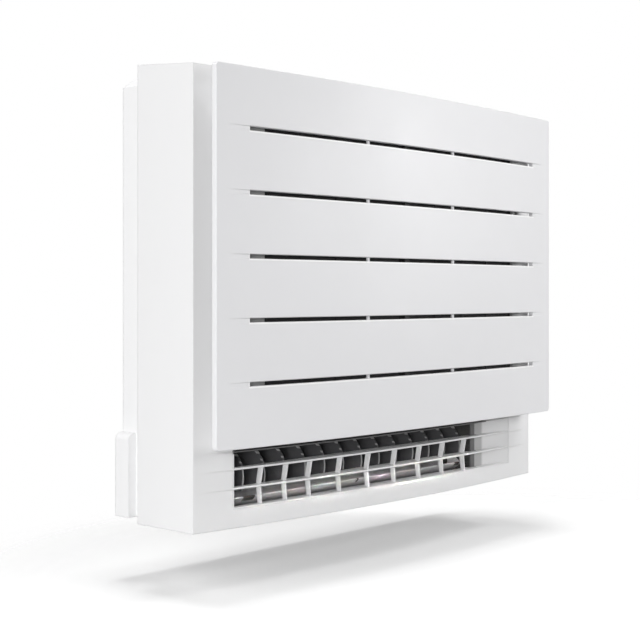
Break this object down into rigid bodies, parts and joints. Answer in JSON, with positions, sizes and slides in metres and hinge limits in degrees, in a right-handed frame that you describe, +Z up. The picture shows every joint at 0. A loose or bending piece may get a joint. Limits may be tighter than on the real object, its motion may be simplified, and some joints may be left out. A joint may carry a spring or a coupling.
{
  "type": "floor standing air conditioner",
  "caption": "Slim white indoor unit with a bowed, slotted intake panel, a barred lower outlet and a flap over the upper outlet.",
  "frame": {"origin": "middle of the unit's footprint, on the plane that it stands on", "axes": "+X along the width, to the right when facing the intake panel; +Y from the intake panel towards the wall; +Z up"},
  "size_m": [0.75, 0.238, 0.6],
  "materials": {
    "panel_white": "satin",
    "casing_white": "fine grain",
    "rear_white": "fine grain",
    "inner_grey": "matte",
    "shutter_grey": "satin",
    "duct_foam": "matte",
    "filter_mesh": "matte",
    "carbon_filter": "matte",
    "fin_aluminium": "thin sheet",
    "copper": "drawn tube",
    "flare_brass": "turned",
    "plate_steel": "galvanised",
    "screw_steel": "bright",
    "motor_steel": "satin",
    "stepper_steel": "satin",
    "pan_white": "matte",
    "board_green": "satin",
    "terminal_cream": "matte",
    "lens_smoke": "polished",
    "fan_plastic": "matte",
    "sensor_black": "satin"
  },
  "bodies": {
    "cabinet": {"front_casing": "casing_white", "casing_screws": "screw_steel", "lower_grille": "casing_white", "rear_body": "rear_white", "mounting_plate": "plate_steel", "air_guide": "duct_foam", "orifice_plate": "inner_grey", "orifice_screws": "screw_steel", "fan_motor": "motor_steel", "motor_bracket": "plate_steel", "heat_exchanger_fins": "fin_aluminium", "heat_exchanger_tubes": "copper", "end_plate_left": "plate_steel", "end_plate_right": "plate_steel", "drain_pan": "pan_white", "drain_elbow": "inner_grey", "liquid_pipe": "copper", "gas_pipe": "copper", "liquid_union": "flare_brass", "gas_union": "flare_brass", "air_filter_left": "filter_mesh", "air_filter_right": "filter_mesh", "deodorising_filter_left": "carbon_filter", "deodorising_filter_right": "carbon_filter", "outlet_sleeve": "inner_grey", "louvre_motor_left": "stepper_steel", "louvre_motor_right": "stepper_steel", "flap_motor": "stepper_steel", "shutter_motor": "stepper_steel", "guide_vanes": "inner_grey", "electrical_box": "inner_grey", "electrical_cover": "plate_steel", "control_board": "board_green", "terminal_block": "terminal_cream", "display_board": "board_green", "display_lens": "lens_smoke", "room_sensor": "sensor_black"},
    "front_panel": {"front_panel": "panel_white"},
    "panel_catch_left": {"panel_catch_left": "casing_white"},
    "panel_catch_right": {"panel_catch_right": "casing_white"},
    "upper_flap": {"upper_flap": "casing_white"},
    "fan": {"fan_wheel": "fan_plastic", "fan_shaft": "plate_steel", "fan_nut": "flare_brass"},
    "lower_shutter": {"lower_shutter": "shutter_grey"},
    "power_button": {"power_button": "casing_white"},
    "tie_bar_left": {"tie_bar_left": "inner_grey"},
    "tie_bar_right": {"tie_bar_right": "inner_grey"},
    "louvre_1": {"louvre_1": "inner_grey"},
    "louvre_2": {"louvre_2": "inner_grey"},
    "louvre_3": {"louvre_3": "inner_grey"},
    "louvre_4": {"louvre_4": "inner_grey"},
    "louvre_5": {"louvre_5": "inner_grey"},
    "louvre_6": {"louvre_6": "inner_grey"},
    "louvre_7": {"louvre_7": "inner_grey"},
    "louvre_8": {"louvre_8": "inner_grey"}
  },
  "joints": [
    {"name": "panel_hinge", "type": "hinge", "parent": "cabinet", "child": "front_panel", "pos_m": [0, -0.092, 0.118], "axis": [1, 0, 0], "range_deg": [0, 35]},
    {"name": "catch_left_slide", "type": "slide", "parent": "front_panel", "child": "panel_catch_left", "axis": [-1, 0, 0], "range_m": [0, 0.008]},
    {"name": "catch_right_slide", "type": "slide", "parent": "front_panel", "child": "panel_catch_right", "axis": [1, 0, 0], "range_m": [0, 0.008]},
    {"name": "flap_hinge", "type": "hinge", "parent": "cabinet", "child": "upper_flap", "pos_m": [0, 0.0285, 0.59183], "axis": [-1, 0, 0], "range_deg": [0, 75]},
    {"name": "fan_spin", "type": "hinge", "parent": "cabinet", "child": "fan", "pos_m": [-0.05, 0, 0.298], "axis": [0, 1, 0], "continuous": true},
    {"name": "shutter_hinge", "type": "hinge", "parent": "cabinet", "child": "lower_shutter", "pos_m": [0, -0.01, 0.06], "axis": [-1, 0, 0], "range_deg": [0, 95]},
    {"name": "button_press", "type": "slide", "parent": "cabinet", "child": "power_button", "axis": [0, 0, -1], "range_m": [0, 0.001], "stiffness_N_per_m": 400},
    {"name": "louvre_1_hinge", "type": "hinge", "parent": "cabinet", "child": "louvre_1", "pos_m": [-0.25311, 0, 0.558], "axis": [0, 1, 0], "range_deg": [-30, 30]},
    {"name": "louvre_2_hinge", "type": "hinge", "parent": "cabinet", "child": "louvre_2", "pos_m": [-0.19522, 0, 0.558], "axis": [0, 1, 0], "range_deg": [-30, 30]},
    {"name": "louvre_3_hinge", "type": "hinge", "parent": "cabinet", "child": "louvre_3", "pos_m": [-0.13733, 0, 0.558], "axis": [0, 1, 0], "range_deg": [-30, 30]},
    {"name": "louvre_4_hinge", "type": "hinge", "parent": "cabinet", "child": "louvre_4", "pos_m": [-0.07944, 0, 0.558], "axis": [0, 1, 0], "range_deg": [-30, 30]},
    {"name": "louvre_5_hinge", "type": "hinge", "parent": "cabinet", "child": "louvre_5", "pos_m": [-0.02156, 0, 0.558], "axis": [0, 1, 0], "range_deg": [-30, 30]},
    {"name": "louvre_6_hinge", "type": "hinge", "parent": "cabinet", "child": "louvre_6", "pos_m": [0.03633, 0, 0.558], "axis": [0, 1, 0], "range_deg": [-30, 30]},
    {"name": "louvre_7_hinge", "type": "hinge", "parent": "cabinet", "child": "louvre_7", "pos_m": [0.09422, 0, 0.558], "axis": [0, 1, 0], "range_deg": [-30, 30]},
    {"name": "louvre_8_hinge", "type": "hinge", "parent": "cabinet", "child": "louvre_8", "pos_m": [0.15211, 0, 0.558], "axis": [0, 1, 0], "range_deg": [-30, 30]},
    {"name": "tie_bar_left_slide", "type": "slide", "parent": "cabinet", "child": "tie_bar_left", "axis": [1, 0, 0], "range_m": [-0.009, 0.009]},
    {"name": "tie_bar_right_slide", "type": "slide", "parent": "cabinet", "child": "tie_bar_right", "axis": [1, 0, 0], "range_m": [-0.009, 0.009]}
  ],
  "couplings": [
    {"joint": "louvre_2_hinge", "follows": "louvre_1_hinge", "ratio": 1},
    {"joint": "louvre_3_hinge", "follows": "louvre_1_hinge", "ratio": 1},
    {"joint": "louvre_4_hinge", "follows": "louvre_1_hinge", "ratio": 1},
    {"joint": "tie_bar_left_slide", "follows": "louvre_1_hinge", "m_per_rad": 0.016},
    {"joint": "louvre_6_hinge", "follows": "louvre_5_hinge", "ratio": 1},
    {"joint": "louvre_7_hinge", "follows": "louvre_5_hinge", "ratio": 1},
    {"joint": "louvre_8_hinge", "follows": "louvre_5_hinge", "ratio": 1},
    {"joint": "tie_bar_right_slide", "follows": "louvre_5_hinge", "m_per_rad": 0.016}
  ]
}
